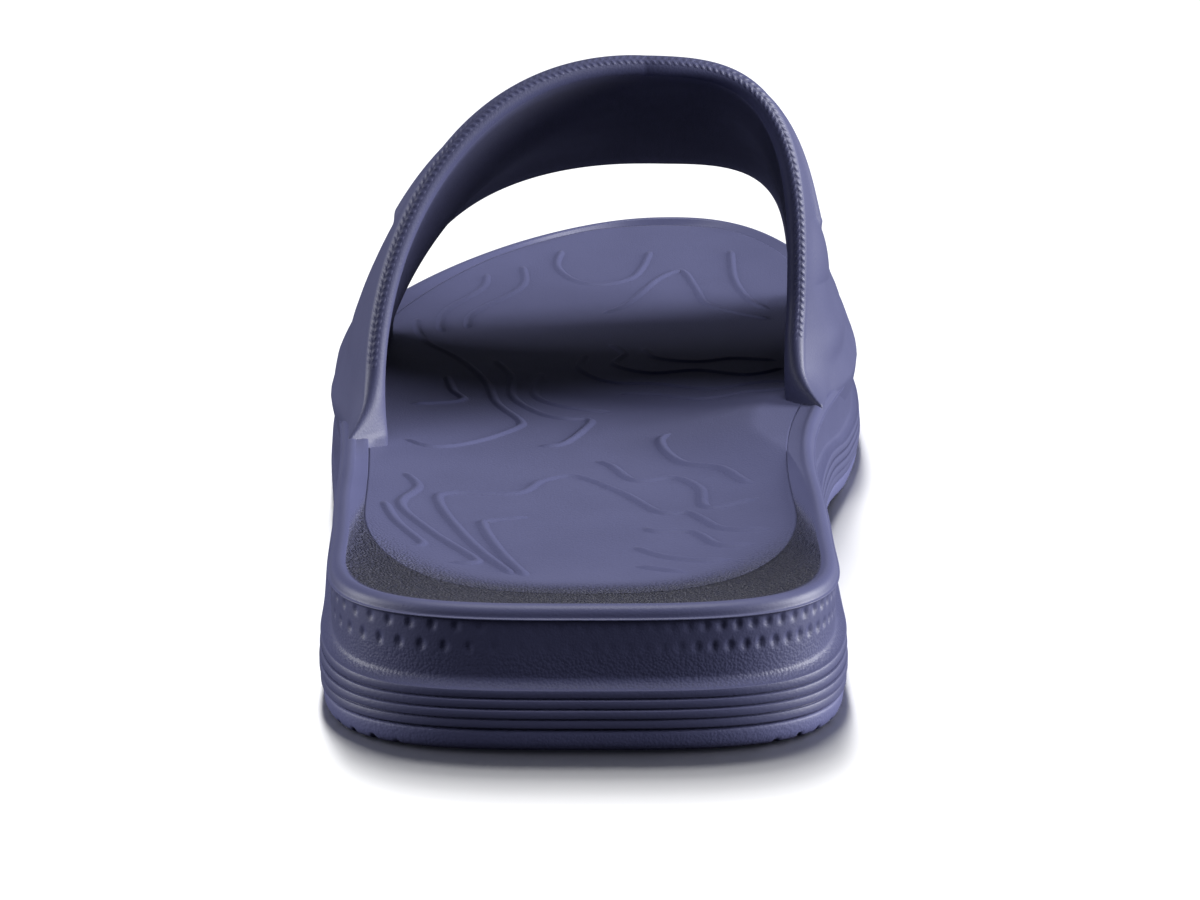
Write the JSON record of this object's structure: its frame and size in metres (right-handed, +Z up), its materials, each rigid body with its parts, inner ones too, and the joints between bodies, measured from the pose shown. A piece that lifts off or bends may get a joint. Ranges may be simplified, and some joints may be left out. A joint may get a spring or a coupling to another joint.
{
  "type": "slide sandal",
  "caption": "Left sport slide sandal in moulded foam: broad one-piece strap, dished footbed with raised contour lines, ribbed side wall and treaded outsole.",
  "frame": {"origin": "on the floor, under the middle of the sandal's bounding box", "axes": "+X towards the medial (big toe) side, +Y from heel to toe, +Z up"},
  "size_m": [0.1098, 0.284, 0.0858],
  "materials": {
    "outsole_foam": "matte, fine hexagon texture at the edge",
    "sole_foam": "matte, grained, with a smoother bead",
    "footbed_foam": "matte, nearly smooth, with raised contour lines",
    "strap_foam": "matte, fine grain, soft sheen"
  },
  "bodies": {
    "root": {"outsole": "outsole_foam", "midsole": "sole_foam", "footbed": "footbed_foam", "strap": "strap_foam"}
  },
  "joints": []
}
